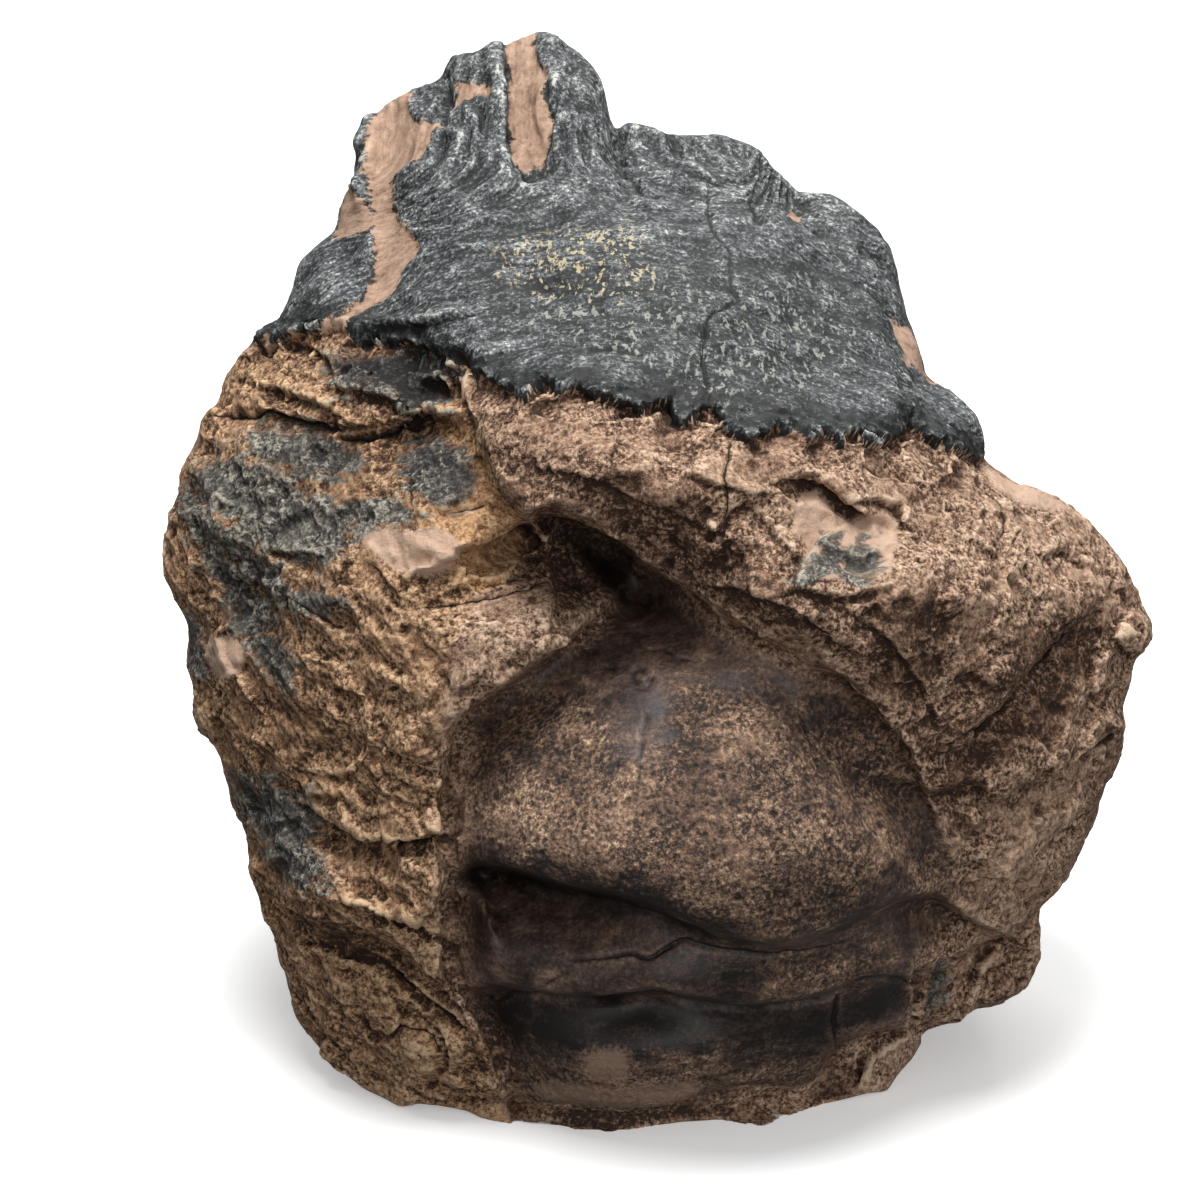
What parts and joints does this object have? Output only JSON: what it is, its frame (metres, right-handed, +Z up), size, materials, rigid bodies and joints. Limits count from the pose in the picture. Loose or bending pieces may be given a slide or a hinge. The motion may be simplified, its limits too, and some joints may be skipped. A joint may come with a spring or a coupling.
{
  "type": "fossil mammoth tooth",
  "caption": "Fossil mammoth tooth: a lump of brown root and cement with a smooth dome and lip-like folds in a front hollow, under a ragged black crown of fused plates. Stands on a flat foot.",
  "frame": {"origin": "middle of the footprint, on the surface that the tooth stands on", "axes": "+X to the tooth's right as seen from its front, +Y away from the viewer towards the hidden back, +Z up to the jagged crest"},
  "size_m": [0.1257, 0.1212, 0.1246],
  "materials": {
    "fossil_tooth": "matt brown mineralised root and cement, polished and darker on the folds of the front, with charcoal black fibrous enamel plates on the crown"
  },
  "bodies": {
    "root": {"mammoth_tooth": "fossil_tooth"}
  },
  "joints": []
}
